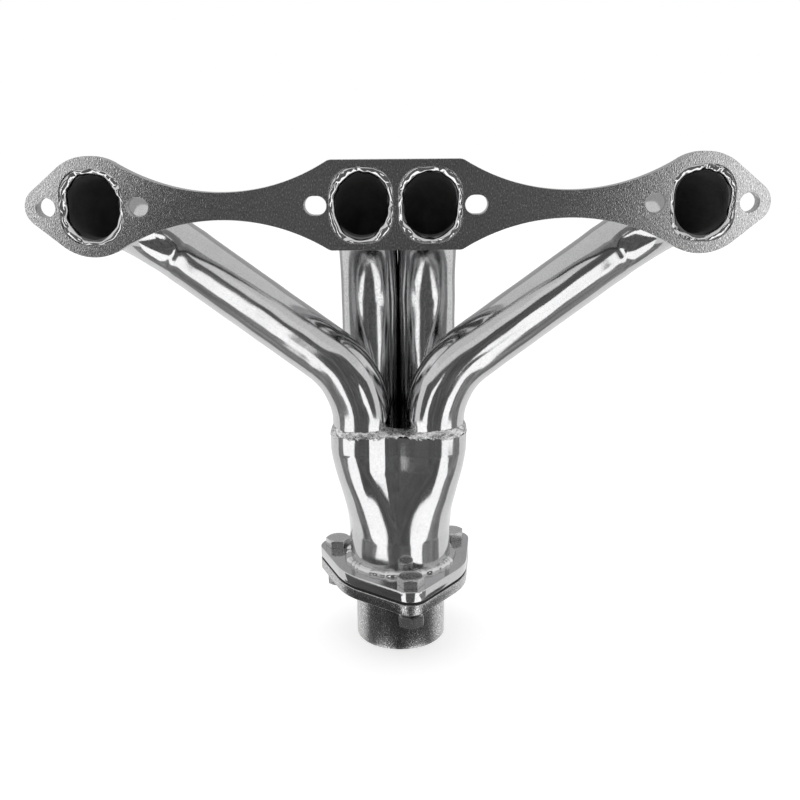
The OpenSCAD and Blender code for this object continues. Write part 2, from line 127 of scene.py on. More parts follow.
# Outlet joint, from the top down
OUTLET_FLANGE_T, GASKET_T, GASKET_INSET = 8.0, 2.0, 0.8
FLANGE_BOTTOM_Z = FLANGE_TOP_Z - OUTLET_FLANGE_T
GASKET_BOTTOM_Z = FLANGE_BOTTOM_Z - GASKET_T
OUTLET_FLANGE_Z = GASKET_BOTTOM_Z - OUTLET_FLANGE_T
OUTLET_TUBE_L = 44.0
OUTLET_END_Z = OUTLET_FLANGE_Z - OUTLET_TUBE_L
OUTLET_FLANGE_R, OUTLET_CORNER_R = 50.5, 13.515
OUTLET_EDGE, GASKET_EDGE, BORE_FIT = 0.6, 0.25, 0.1
OUTLET_TUBE_R, OUTLET_BORE_R, OUTLET_WELD_H = 33.6, 32.0, 2.5
OUTLET_LIP_R, OUTLET_TUBE_AROUND, OUTLET_PLATE_AROUND = 0.8, 160, 480

# Fasteners
BOLT_CIRCLE_R, FRONT_BOLT_ANGLE = 51.8, -81.0
BOLTS = {"front": 0, "right": 1, "left": 2}
HEAD_TURNS = {"front": -90.0, "right": -66.0, "left": -92.0}
BOLT_R, BOLT_HOLE_R = 5.0, 5.5
HEX_AF, HEX_AROUND, HEX_SHARPNESS = 17.0, 96, 70
HEX_RIM, HEX_SLOPE, HEX_EDGE = 0.96, 0.55, 0.3
HEAD_H, NUT_H = 6.4, 8.4
HEAD_DISH = ((0.93, 0.02), (0.9, 0.12), (0.5, 0.2), (0.12, 0.22))
THREAD_PITCH, THREAD_DEPTH, THREAD_STEPS = 1.5, 0.8, 12
TIP_PROUD, TIP_FACE, TIP_CHAMFER, SHANK_START = 1.5, 0.6, 0.7, 0.2
NUT_PLAY, NUT_MOUTH_W, NUT_MOUTH_H = 0.05, 0.9, 0.8
SEAT_GAP = 0.02
WASHER_R, WASHER_BORE_R, WASHER_T, WASHER_EDGE = 10.0, 5.1, 2.0, 0.4
LOCK_R, LOCK_T, LOCK_SPLIT, LOCK_EDGE = 8.8, 2.6, 1.6, 0.35
WASHER_AROUND = 72
WASHER_Z = OUTLET_FLANGE_Z - SEAT_GAP - WASHER_T
LOCK_Z = WASHER_Z - LOCK_T
NUT_Z = LOCK_Z - SEAT_GAP
BOLT_TIP_Z = NUT_Z - NUT_H - TIP_PROUD

# Studio, in metres and strengths of light
TABLE_Z, ROOM_Y, LAMP_Y = -0.75, -2.2, -2.1
UNDER_TABLE_Z = TABLE_Z - 0.01
CEILING_Z, CEILING_X = 2.2, 3
BACK_WALL_Z, BACK_WALL_X = -0.9, 2.5
BRIGHT, DIM, DARK = 1.75, 0.30, 0.14
BACK_LIGHT, CEILING_LIGHT = 0.5, 0.85
SOFT_LIGHT, FLOOR_GLOW, FLOOR_SIZE = 0.55, 0.55, 4.0
TABLES = {
    "left": [(-0.04, -0.10), (-0.95, -1.65), (-1.30, -2.08), (-2.35, -2.08), (-2.70, -0.74),
             (-1.45, -0.58), (-1.30, -0.90), (-1.12, -1.15), (-0.93, -0.78), (-0.84, -0.52),
             (-0.66, -0.22), (-0.30, -0.10)],
    "right": [(0.03, -0.10), (0.88, -1.80), (1.35, -2.08), (2.25, -2.08), (2.70, -0.74),
              (1.50, -0.60), (1.34, -0.95), (1.16, -0.92), (0.93, -0.68), (0.84, -0.52),
              (0.66, -0.22), (0.30, -0.10)],
}
# Far end of the dark gap between the tables, a painted shadow of the camera
CAMERA_SHADOW_FAR_END = [(1.60, ROOM_Y - 0.4), (-1.80, ROOM_Y - 0.4)]
STRIP = [(0.20, -0.16), (0.9, -1.3), (1.5, -1.4), (2.7, -0.9), (2.7, 0.30), (0.25, 0.17)]
WALL = [(-4.0, TABLE_Z - 0.3), (4.0, TABLE_Z - 0.3),
        (4.0, 1.6), (1.3, 1.9), (0.0, 1.15), (-4.0, 1.05)]
LAMPS = {
    "left": [(-0.67, 0.34), (-0.62, 0.60), (-1.35, 0.15), (-1.60, -0.10), (-1.95, -0.46),
             (-2.35, TABLE_Z), (-1.20, TABLE_Z), (-1.15, -0.32), (-0.91, 0.01)],
    "right": [(0.80, -0.28), (0.80, 0.10), (0.91, 0.29), (1.10, 0.45), (1.35, 0.20), (1.62, -0.15),
              (1.95, -0.55), (2.20, TABLE_Z), (1.40, TABLE_Z), (1.05, -0.40)],
}

# Dark cards round the outlet, a painted shadow on the table: radius, top, first and last angle
# from the front, and strength
SHADOW_CARD_R, SHADOW_CARD_TOP, SHADOW_CARD_LOW = 0.068, -0.286, -0.347
FOOT_SHADOW_CARDS = {
    "foot_shadow_left": (SHADOW_CARD_R, SHADOW_CARD_TOP, -74, -20, 0.10),
    "foot_shadow_middle": (SHADOW_CARD_R, SHADOW_CARD_TOP, -20, 30, 0.07),
    "foot_shadow_right": (SHADOW_CARD_R, SHADOW_CARD_TOP, 30, 66, 0.14),
    "foot_shadow_flank": (0.09, -0.279, -78, -22, 0.10),
}

# Camera, in metres and degrees
CAMERA_PLACE = (0.01071, -0.6182, 0.03771)
CAMERA_YAW, CAMERA_PITCH, CAMERA_ROLL = 0.84, 15.08, -0.5
LENS_MM, SENSOR_MM = 42.75, 36.0


# Small helpers for arrays of points

def unit(v):
    return v / np.linalg.norm(v, axis=-1, keepdims=True)


def ease(t):
    t = np.clip(t, 0, 1)
    return t * t * (3 - 2 * t)


def wobble(points, wavelength, seed):
    """A smooth random value of about -1 to 1 for each point."""
    rng = np.random.default_rng(seed)
    value = 0
    for way in unit(rng.normal(size=(7, 3))):
        length = wavelength * rng.uniform(0.7, 1.5)
        value = value + np.sin(points @ way * (FULL_TURN / length) + rng.uniform(0, FULL_TURN))
    return value / 2.6


def angles(count):
    return np.arange(count) * FULL_TURN / count


def grid_faces(rows, columns, close_rows=False):
    """Quads of a grid of points that is closed along its columns, and along its rows if asked."""
    last = rows if close_rows else rows - 1
    i, k = np.meshgrid(np.arange(last), np.arange(columns), indexing="ij")
    a, b = i * columns + k, i * columns + (k + 1) % columns
    total = rows * columns
    quads = np.stack([a, b, (b + columns) % total, (a + columns) % total], -1)
    return quads.reshape(-1, 4).tolist()


def about_axis(reach, z, turn, centre):
    """Points at a reach, a height and an angle about an upright axis."""
    x, y = centre[0] + reach * np.cos(turn), centre[1] + reach * np.sin(turn)
    return np.stack(np.broadcast_arrays(x, y, z), -1)


def unit_circle(turn):
    return np.stack([np.cos(turn), np.sin(turn), np.zeros(len(turn))], -1)


def arc(centre, radius, start, end, count):
    turn = np.radians(np.linspace(start, end, count))
    return np.stack([centre[0] + radius * np.cos(turn), centre[1] + radius * np.sin(turn)], -1)


def round_hole(centre, radius, count):
    return arc(centre, radius, 0, 360 - 360 / count, count)


def rounded_rect(w, h, r, x=0.0, count=24):
    right, top = w / 2 - r, h / 2 - r
    corners = [(right, top, 0), (-right, top, 90), (-right, -top, 180), (right, -top, 270)]
    return np.concatenate([arc((x + cx, cy), r, a, a + 90, count) for cx, cy, a in corners])


def bolt_place(i):
    """Place and angle of an outlet bolt, counted from the front one towards the right."""
    turn = math.radians(FRONT_BOLT_ANGLE + 120 * i)
    x, y = BOLT_CIRCLE_R * math.cos(turn), COLLECTOR_Y + BOLT_CIRCLE_R * math.sin(turn)
    return (x, y), turn


# Making pieces

def add_piece(name, points, faces, materials, nodes, slot, body="manifold",
              face_material=None, sharp=EDGE_CREASE):
    """A closed mesh, in millimetres, that stands for some of the solids and moves with a body."""
    mesh = bpy.data.meshes.new(name)
    mesh.from_pydata((np.asarray(points) * MM).tolist(), [], faces)
    bm = bmesh.new()
    bm.from_mesh(mesh)
    bmesh.ops.recalc_face_normals(bm, faces=bm.faces)
    bm.to_mesh(mesh)
    bm.free()
    for material in materials:
        mesh.materials.append(material)
    if face_material is not None:
        mesh.polygons.foreach_set("material_index", face_material)
    mesh.polygons.foreach_set("use_smooth", [True] * len(mesh.polygons))
    mesh.set_sharp_from_angle(angle=math.radians(sharp))
    piece = bpy.data.objects.new(name, mesh)
    bpy.context.scene.collection.objects.link(piece)
    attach(piece, body)
    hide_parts(*nodes)
    return piece


def add_ring(name, rings, *args, **more):
    """A piece from rings of points that close on themselves both ways."""
    rows, columns = rings.shape[:2]
    add_piece(name, rings.reshape(-1, 3), grid_faces(rows, columns, True), *args, **more)


def add_capped(name, rings, *args, **more):
    """A piece from rings of points with a face over each end."""
    rows, columns = rings.shape[:2]
    ends = [list(range(columns)), list(range((rows - 1) * columns, rows * columns))]
    add_piece(name, rings.reshape(-1, 3), grid_faces(rows, columns) + ends, *args, **more)


def add_pipe(name, skin, bore, material, nodes):
    """A pipe from the rings of its outside and, in reverse, those of its bore, dark as bare steel
    and with painted shade.
    """
    rings = np.concatenate([skin, bore])
    inside = np.repeat(np.arange(len(rings)) >= len(skin), rings.shape[1]).astype(int)
    add_ring(name, rings, [material, BORE_AND_SHADE], nodes, "polished_steel",
             face_material=inside, sharp=PIPE_CREASE)


# Materials

EVEN = (1, 1, 1)
Grain = namedtuple("Grain", "scale detail stretch roughness", defaults=(2, EVEN, 0.55))
PATCHES = Grain(45, 4)
LOW, HIGH = 0.3, 0.7  # most of a noise lies between these


def link(tree, source, target):
    tree.links.new(source, target)


def grey(value, tint=0.0):
    return (value, value, value * (1 + tint), 1)


def noise(tree, grain):
    coords = tree.nodes.new("ShaderNodeTexCoord")
    mapping = tree.nodes.new("ShaderNodeMapping")
    mapping.inputs["Scale"].default_value = grain.stretch
    texture = tree.nodes.new("ShaderNodeTexNoise")
    texture.inputs["Scale"].default_value = grain.scale
    texture.inputs["Detail"].default_value = grain.detail
    texture.inputs["Roughness"].default_value = grain.roughness
    link(tree, coords.outputs["Object"], mapping.inputs["Vector"])
    link(tree, mapping.outputs["Vector"], texture.inputs["Vector"])
    return texture.outputs["Fac"]


def ramp(tree, value, stops):
    """A colour for each value, from stops of position and colour."""
    node = tree.nodes.new("ShaderNodeValToRGB")
    elements = node.color_ramp.elements
    while len(elements) < len(stops):
        elements.new(0.5)
    for element, (position, colour) in zip(elements, stops):
        element.position = position
        element.color = colour
    link(tree, value, node.inputs["Fac"])
    return node.outputs["Color"]


def multiply(tree, first, second):
    node = tree.nodes.new("ShaderNodeMix")
    node.data_type, node.blend_type = "RGBA", "MULTIPLY"
    node.inputs["Factor"].default_value = 1.0
    link(tree, first, node.inputs["A"])
    link(tree, second, node.inputs["B"])
    return node.outputs["Result"]


def span(tree, value, low, high, start=LOW, end=HIGH):
    """The value's range from start to end, mapped to low and high."""
    node = tree.nodes.new("ShaderNodeMapRange")
    ranges = {"From Min": start, "From Max": end, "To Min": low, "To Max": high}
    for key, number in ranges.items():
        node.inputs[key].default_value = number
    link(tree, value, node.inputs["Value"])
    return node.outputs["Result"]


def bumps(tree, layers):
    """Stacks bump layers, each a height with the depth in metres that it spans."""
    normal = None
    for height, depth in layers:
        node = tree.nodes.new("ShaderNodeBump")
        node.inputs["Distance"].default_value = depth
        link(tree, height, node.inputs["Height"])
        if normal is not None:
            link(tree, normal, node.inputs["Normal"])
        normal = node.outputs["Normal"]
    return normal


def speckle(scale, stops, stretch=EVEN):
    """Fine grains, with the shade that multiplies the colour at each height of them."""
    return Grain(scale, 3, stretch, 0.6), stops


def metal(name, shades, gloss, dents, grains=None, metallic=1.0, tint=0.0):
    """A new material: its grey drifts between two shades in large soft patches.

    Gloss is a grain with the least and the greatest roughness, dents are grains with their depths
    in metres, and grains are a speckle over the colour.
    """
    material = bpy.data.materials.new(name)
    material.use_nodes = True
    tree = material.node_tree
    shader = tree.nodes["Principled BSDF"]
    shader.inputs["Metallic"].default_value = metallic
    first, second = (grey(shade, tint) for shade in shades)
    colour = ramp(tree, noise(tree, PATCHES), [(LOW, first), (HIGH, second)])
    if grains:
        fine, stops = grains
        shading = ramp(tree, noise(tree, fine), [(at, grey(shade)) for at, shade in stops])
        colour = multiply(tree, colour, shading)
    link(tree, colour, shader.inputs["Base Color"])
    grain, least, greatest = gloss
    link(tree, span(tree, noise(tree, grain), least, greatest), shader.inputs["Roughness"])
    layers = [(noise(tree, dent), depth) for dent, depth in dents]
    link(tree, bumps(tree, layers), shader.inputs["Normal"])
    return material


POLISHED = metal(
    "polished_steel", (0.55, 0.60), (Grain(60, 5), 0.07, 0.14),
    [(Grain(1300), 0.000012), (Grain(110), 0.00002)],
    speckle(1400, ((0.35, 0.82), (0.5, 0.95), (0.65, 1.0))), tint=0.01)

# The inner tubes, which the polishing wheel hardly reaches
SATIN = metal(
    "satin_steel", (0.55, 0.62), (Grain(60, 5), 0.09, 0.16),
    [(Grain(1300), 0.000025), (Grain(110), 0.00002)],
    speckle(1200, ((0.35, 0.62), (0.5, 0.92), (0.65, 1.0))), tint=0.01)

# Plated over a ground face, so fine upright grains glint in it
UPRIGHT = (1, 1, 0.5)
FLANGE = metal(
    "flange_steel", (0.90, 1.0), (Grain(300, 3), 0.11, 0.18),
    [(Grain(1500, 2, UPRIGHT), 0.00006), (Grain(260), 0.00003)],
    speckle(1300, ((0.34, 0.30), (0.48, 0.46), (0.58, 0.52), (0.68, 0.95)), UPRIGHT))

BEAD = metal(
    "weld_bead", (0.56, 0.66), (Grain(500, 3), 0.06, 0.14), [(Grain(900, 3), 0.00002)])

CRACKS = Grain(420, 5, (1, 1, 2), 0.7)
GROUND = metal(
    "ground_weld", (0.80, 1.0), (CRACKS, 0.16, 0.34),
    [(CRACKS, 0.0004), (Grain(1500), 0.00003)],
    speckle(350, ((0.36, 0.26), (0.44, 0.60), (0.55, 0.78), (0.66, 1.0)), (1, 1, 1.6)))

# Grainy plating of the outlet tube and its flange
ZINC_GRAIN = Grain(1100, 4, roughness=0.7)
ZINC = metal(
    "zinc_steel", (0.90, 1.0), (ZINC_GRAIN, 0.12, 0.26),
    [(ZINC_GRAIN, 0.00015), (Grain(1800), 0.00003)],
    speckle(1500, ((0.36, 0.24), (0.47, 0.40), (0.57, 0.50), (0.67, 0.95)), (1, 1, 0.6)))

FASTENER = metal(
    "fastener_zinc", (0.58, 0.68), (Grain(700, 3), 0.22, 0.36), [(Grain(900, 3), 0.00004)],
    speckle(1300, ((0.35, 0.75), (0.5, 0.95), (0.65, 1.0))))

DULL = metal(
    "nut_zinc", (0.52, 0.62), (Grain(700, 3), 0.16, 0.28), [(Grain(900, 3), 0.00005)],
    speckle(1400, ((0.35, 0.65), (0.5, 0.9), (0.65, 1.0))), metallic=0.82)

FIBRES = Grain(900, 4, (1, 1, 3))
FIBRE = metal(
    "gasket", (0.012, 0.028), (FIBRES, 0.65, 0.85), [(FIBRES, 0.00012)], metallic=0.0)

# Bare steel inside the tubes, its dark shades partly painted shade deep in the bore
SCALE = Grain(260, 4)
BORE_AND_SHADE = metal("tube_bore_and_shade", (0.12, 0.20), (SCALE, 0.45, 0.65), [(SCALE, 0.00008)], metallic=0.4)


# Plates with rounded edges

def plate_rows(thickness, edge, steps=3):
    """Inset and depth of each row of a plate's rounded side, from its front to its back."""
    turns = np.linspace(0, math.pi / 2, steps + 1)
    rows = [(edge * (1 - math.sin(a)), edge * (1 - math.cos(a))) for a in turns]
    return rows + [(inset, thickness - depth) for inset, depth in reversed(rows)]


def plate_mesh(loops, thickness, edge):
    """Points and faces of a plate from anticlockwise loops: its outline, then its holes."""
    loops = [loops[0]] + [hole[::-1] for hole in loops[1:]]
    rows = plate_rows(thickness, edge)
    points, faces, front, back, start = [], [], [], [], 0
    for loop in loops:
        along = np.roll(loop, -1, 0) - np.roll(loop, 1, 0)
        inward = unit(np.stack([-along[:, 1], along[:, 0]], -1))
        for inset, depth in rows:
            flat = loop + inset * inward
            points.append(np.column_stack([flat, np.full(len(flat), depth)]))
        faces += [[start + v for v in quad] for quad in grid_faces(len(rows), len(loop))]
        end = start + len(rows) * len(loop)
        front += range(start, start + len(loop))
        back += range(end - len(loop), end)
        start = end
    points = np.concatenate(points)
    outlines = [[Vector((*points[i][:2], 0)) for i in group] for group in split(front, loops)]
    for a, b, c in tessellate_polygon(outlines):
        faces += [[front[a], front[b], front[c]], [back[c], back[b], back[a]]]
    return points, faces


def split(flat, groups):
    """Cuts a flat list into pieces as long as the groups."""
    ends = np.cumsum([len(g) for g in groups])
    return [flat[end - len(g):end] for g, end in zip(groups, ends)]


def flat_caps(piece):
    """Shades a plate's two faces flat, so that its rounded edges don't bend their light."""
    for face in piece.data.polygons:
        if len(face.vertices) == 3:
            face.use_smooth = False


def head_flange_outline():
    """A middle block, two waisted arms and two lobes that taper to the end holes."""
    waist_z = WAIST_H / 2 + WAIST_R
    block_end = WAIST_X - math.sqrt(WAIST_R ** 2 - (waist_z - BLOCK_H / 2) ** 2)
    bend = math.degrees(math.atan2(WAIST_X - block_end, waist_z - BLOCK_H / 2))
    corner_x = block_end - BLOCK_CORNER_R * math.tan(math.radians(bend / 2))
    corner = arc((corner_x, BLOCK_H / 2 - BLOCK_CORNER_R), BLOCK_CORNER_R, 90, 90 - bend, 8)
    seat = math.degrees(math.atan2(-waist_z, OUTER_PORT_X - WAIST_X))
    end_x, end_z = corner[-1]
    hollow_start = math.degrees(math.atan2(end_z - waist_z, end_x - WAIST_X))
    hollow = arc((WAIST_X, waist_z), WAIST_R, hollow_start + ARC_GAP, seat, 60)
    taper = math.degrees(math.acos((LOBE_R - TIP_R) / BOLT_OFFSET))
    lobe = arc((OUTER_PORT_X, 0), LOBE_R, 180 + seat - ARC_GAP, taper, 30)
    tip = arc((OUTER_PORT_X + BOLT_OFFSET, 0), TIP_R, taper, 0, 16)
    quarter = np.concatenate([corner, hollow, lobe, tip])
    upper = np.concatenate([quarter[::-1], quarter * [-1, 1]])
    return np.concatenate([upper, upper[-2:0:-1] * [1, -1]])


def head_flange():
    loops = [head_flange_outline()]
    loops += [rounded_rect(PORT_W, PORT_H, PORT_CORNER_R, x) for x in PORTS.values()]
    for s in SIDES.values():
        loops.append(round_hole((s * (OUTER_PORT_X + BOLT_OFFSET), 0), END_HOLE_R, 48))
        for x in (OUTER_PORT_X - BOLT_OFFSET, INNER_PORT_X + BOLT_OFFSET):
            loops.append(rounded_rect(SLOT_L, SLOT_H, (SLOT_H - SLOT_FLAT) / 2, s * x, 14))
    points, faces = plate_mesh(loops, FLANGE_T, FLANGE_EDGE)
    flat_caps(add_piece("plate_head_flange", points[:, [0, 2, 1]], faces,
                        [FLANGE], ["head_flange"], "flange_steel"))


# Primary tubes

def bend_route(corners, radii, step):
    """Points along straight legs joined by bends, and the direction at each."""
    corners = [np.array(c, float) for c in corners]
    points, ways = [corners[0]], [unit(corners[1] - corners[0])]

    def straight(end, way):
        start = points[-1]
        run = end - start
        count = max(1, round(np.linalg.norm(run) / step))
        for i in range(1, count + 1):
            points.append(start + run * i / count)
            ways.append(way)

    for before, corner, after, radius in zip(corners, corners[1:], corners[2:], radii):
        into, out = unit(corner - before), unit(after - corner)
        turn = math.acos(into @ out)
        inward = unit(out - (out @ into) * into)
        straight(corner - radius * math.tan(turn / 2) * into, into)
        centre = points[-1] + radius * inward
        for a in np.linspace(0, turn, round(radius * turn / step) + 1)[1:]:
            points.append(centre + radius * (math.sin(a) * into - math.cos(a) * inward))
            ways.append(math.cos(a) * into + math.sin(a) * inward)
    straight(corners[-1], unit(corners[-1] - corners[-2]))
    return np.array(points), np.array(ways)


def run_along(points):
    """Length along a route up to each point."""
    return np.concatenate([[0], np.cumsum(np.linalg.norm(np.diff(points, axis=0), axis=1))])


def cut_route(route, length):
    """A route in two, with a hair of a gap after the cut."""
    points, ways = route
    cut = int(np.argmin(np.abs(run_along(points) - length)))
    rest = points[cut:].copy()
    rest[0] = rest[0] + SEAM_GAP * ways[cut]
    return (points[:cut + 1], ways[:cut + 1]), (rest, ways[cut:])


def sides_of(ways, first):
    """Two directions across a route at each point, turned as little as possible along it."""
    side = [unit(first - (first @ ways[0]) * ways[0])]
    for way in ways[1:]:
        side.append(unit(side[-1] - (side[-1] @ way) * way))
    side = np.array(side)
    return side, np.cross(ways, side)


def oval_reach(turn, w, h):
    """Distance from the middle of an upright slot with round ends to its edge."""
    lift = (h - w) / 2
    across, up = np.abs(np.cos(turn)), np.abs(np.sin(turn))
    flat = w / 2 / np.maximum(across, 1e-6)
    cap = lift * up + np.sqrt(np.maximum((w / 2) ** 2 - (lift * across) ** 2, 0))
    return np.where(flat * up <= lift, flat, cap)


def tube_rings(points, ways, turn, reach):
    """Rings of points around a route, and the direction of each from the route."""
    side, other = sides_of(ways, np.array([1.0, 0, 0]))
    across, along = np.cos(turn)[None, :, None], np.sin(turn)[None, :, None]
    spread = across * side[:, None] + along * other[:, None]
    return points[:, None] + reach[..., None] * spread, spread


def tube_piece(name, s, route, nodes, port_end, swells, seed, material=POLISHED):
    """A tube on one side with small waves and swells, oval at its port end."""
    points, ways = route
    turn = angles(TUBE_AROUND)
    to_round = np.ones(len(points))
    if port_end:
        to_round = ease((points[:, 1] - FLANGE_T) / (BEND_Y - FLANGE_T))
    to_round = np.maximum.accumulate(to_round)[:, None]
    end = oval_reach(turn, END_W, END_H)[None]
    reach = end + (TUBE_R - end) * to_round
    skin, spread = tube_rings(points, ways, turn, reach)
    mirror = np.array([s, 1, 1])
    proud = WAVE_H * wobble(skin * mirror, WAVE_L, seed) * to_round
    uneven = 1 + SWELL_DRIFT * wobble(skin * mirror, SWELL_DRIFT_L, seed + 1)
    run = run_along(points)
    for place, length, height in swells:
        proud = proud + height * uneven * np.exp(-((run - place) / length) ** 2)[:, None]
    skin = skin + proud[..., None] * spread
    bore = tube_rings(points, ways, turn, reach - TUBE_WALL)[0][::-3]
    add_pipe(name, skin * mirror, bore * mirror, material, nodes)


def primary_tubes():
    """The outer tubes turn twice; the inner ones turn down and ease into the collector."""
    foot_z, front, row = MOUTH_Z - TUBE_LAP, COLLECTOR_Y - ROW_Y, COLLECTOR_Y + ROW_Y
    outer = [[OUTER_PORT_X, TUBE_INSET, 0], [OUTER_PORT_X, ELBOW_Y, -ELBOW_DROP],
             [FRONT_X, front, MOUTH_Z + TURN_RISE], [FRONT_X, front, foot_z]]
    inner = [[INNER_PORT_X, TUBE_INSET, 0], [INNER_PORT_X - INNER_SHIFT_X, row - INNER_SHIFT_Y, 0],
             [BACK_X, row, INNER_EASE_Z], [BACK_X, row, foot_z]]
    elbow, slant = cut_route(bend_route(outer, [ELBOW_R, TURN_R], OUTER_STEP), ELBOW_L)
    seam = run_along(elbow[0])[-1]
    elbow_swells = [(seam + at, length, height) for at, length, height in SEAM_SWELLS]
    drop = bend_route(inner, [INNER_R, EASE_R], INNER_STEP)
    for side, s in SIDES.items():
        tube_piece(f"elbow_outer_{side}", s, elbow,
                   [f"port_stub_outer_{side}", f"outer_elbow_{side}"], True,
                   elbow_swells, SEEDS["outer_tube"] + s)
        tube_piece(f"tube_outer_{side}", s, slant, [f"outer_tube_{side}"], False,
                   SEAM_SWELLS + [TURN_SWELL], SEEDS["outer_tube"] + s)
        tube_piece(f"tube_inner_{side}", s, drop,
                   [f"port_stub_inner_{side}", f"inner_tube_{side}"], True,
                   [INNER_SWELL], SEEDS["inner_tube"] + s, SATIN)


# Welds

def rect_reach(turn, w, h, r):
    """Distance from the middle of a rounded rectangle to its edge."""
    outline = rounded_rect(w, h, r, count=60)
    at = np.arctan2(outline[:, 1], outline[:, 0]) % FULL_TURN
    order = np.argsort(at)
    return np.interp(turn, at[order], np.hypot(*outline.T)[order], period=FULL_TURN)


def port_weld(place, x, seed):
    """The bead between a tube end and its port, run in long uneven flows."""
    turn = angles(PORT_WELD_AROUND)
    outer = rect_reach(turn, PORT_W, PORT_H, PORT_CORNER_R) + PORT_WELD_LAP
    inner = oval_reach(turn, END_W - 2 * TUBE_WALL, END_H - 2 * TUBE_WALL)
    circle = unit_circle(turn) * PORT_WELD_MEAN_R
    sag = wobble(circle, SAG_L, seed)
    flow = wobble(circle, FLOW_L, seed + 1)
    inner = inner - PORT_WELD_PROUD - SAG_H * sag - FLOW_H * flow
    rows = []
    for share, depth in PORT_WELD_ROWS:
        reach = outer + (inner - outer) * share
        crown = math.sin(math.pi * share) * (0.5 * flow + 0.3 * sag)
        rows.append(np.stack([reach * np.cos(turn), depth - crown, reach * np.sin(turn)], -1))
    rings = np.array(rows)
    ripple = RIPPLE_H * wobble(rings[1:-1], RIPPLE_L, seed + 2)
    rings[1:-1] += ripple[..., None] * [0.4, 1, 0.4]
    rings[..., 1] = np.maximum(rings[..., 1], PORT_WELD_SINK)
    rings[..., 0] += x
    add_ring(f"weld_port_{place}", rings, [BEAD], [f"port_weld_{place}"], "weld_bead",
             sharp=SOFT_CREASE)


def lumpy_ring(name, node, reach, z, half_w, half_h, around, drops, lump, seed):
    """An oval bead around the collector's axis, laid down in drops."""
    turn = angles(around)
    circle = unit_circle(turn) * reach
    beat = np.sin(turn * drops + 2.5 * wobble(circle, 20, seed + 1))
    swell = 1 + lump * (0.6 * wobble(circle, 14, seed) + 0.5 * beat)
    section = unit_circle(angles(14))[:, :2] * [half_w, half_h]
    rings = np.array([about_axis(reach + out * swell, z + up * swell, turn, COLLECTOR_AXIS)
                      for out, up in section])
    rings = rings + 0.5 * lump * wobble(rings, 3.5, seed + 2)[..., None] * [1, 1, 0.7]
    add_ring(name, rings, [BEAD], [node], "weld_bead",
             sharp=SOFT_CREASE)


def rim_weld():
    """The ground weld that slopes from the tubes down to the shell, with a ragged lower edge."""
    turn, seed = angles(RIM_WELD_AROUND), SEEDS["rim"]
    shell = shell_reach(turn, MOUTH_Z)
    tubes = np.maximum(lobe_reach(turn, TUBE_R).max(0), RIM_FILL)
    tubes = np.minimum(tubes, shell - RIM_WELD_MIN_W)
    circle = about_axis(shell, 0, turn, (0, 0))
    ragged = 0.6 * wobble(circle, 17, seed) + 0.4 * wobble(circle, 6, seed + 1)
    high = RIM_WELD_TOP + RIM_WELD_RISE * wobble(circle, 25, seed + 2)
    low = RIM_WELD_LOW - RIM_WELD_RAGGED * ragged
    rows = []
    for share, lift, out in RIM_WELD_ROWS:
        z = MOUTH_Z + low + (high - low) * lift
        rows.append(about_axis(tubes + (shell - tubes) * share + out, z, turn, COLLECTOR_AXIS))
    rings = np.array(rows)
    ripple = wobble(rings[1:-2], 8, seed + 3) + wobble(rings[1:-2], 3, seed + 4)
    rings[1:-2] += RIM_WELD_RIPPLE * ripple[..., None] * [0.6, 0.6, 1]
    add_ring("weld_rim", rings, [GROUND], ["rim_weld"], "weld_bead",
             sharp=SOFT_CREASE)


def collector_welds():
    rim_weld()
    lumpy_ring("weld_neck", "neck_weld", reach=NECK_R + 0.6, z=FLANGE_TOP_Z + 0.5,
               half_w=3.6, half_h=3.4, around=300, drops=23, lump=0.24, seed=SEEDS["neck"])
    lumpy_ring("weld_outlet", "outlet_weld", reach=OUTLET_TUBE_R - 0.4,
               z=GASKET_BOTTOM_Z - OUTLET_WELD_H / 2,
               half_w=1.0, half_h=1.2, around=240, drops=53, lump=0.2, seed=SEEDS["outlet"])


# Collector

def lobe_reach(turn, r):
    """Distance from the collector axis to the far side of each tube's disc, for each direction."""
    far = np.hypot(*TUBE_CENTRES.T)[:, None]
    off = turn[None] - np.arctan2(TUBE_CENTRES[:, 1], TUBE_CENTRES[:, 0])[:, None]
    miss = far * np.sin(off)
    hit = (np.cos(off) > 0) & (np.abs(miss) < r)
    return np.where(hit, far * np.cos(off) + np.sqrt(np.maximum(r * r - miss ** 2, 0)), 0)


def hull_reach(turn, r):
    """The outline of a sheet pulled straight around the four tubes."""
    ways = angles(720)
    support = (TUBE_CENTRES @ np.stack([np.cos(ways), np.sin(ways)])).max(0) + r
    lean = np.cos(turn[:, None] - ways[None])
    return np.where(lean > 0.05, support / np.maximum(lean, 0.05), 1e9).min(1)


def shell_reach(turn, z):
    """A sheet pulled around the tubes and drawn in to the round neck, with four dished panels."""
    fall = np.clip((MERGE_TOP_Z - z) / MERGE_L, 0, 1)
    down = (fall + ease(fall)) / 2
    reach = hull_reach(turn, SHELL_LOBE_R) * (1 - down) + NECK_R * down
    narrowing = np.clip((z - CREASE_END_Z) / (CREASE_TOP_Z - CREASE_END_Z), 0, 1)
    depth = PANEL_DEPTH * narrowing ** PANEL_FADE
    for middle, half in PANELS:
        off = turn - math.radians(middle)
        share = reach * np.sin(off) / max(half * narrowing, 0.5)
        dish = depth * np.interp(share, PANEL_SHARES, PANEL_FALLS)
        reach = reach - np.where(np.cos(off) > 0, dish, 0)
    return reach


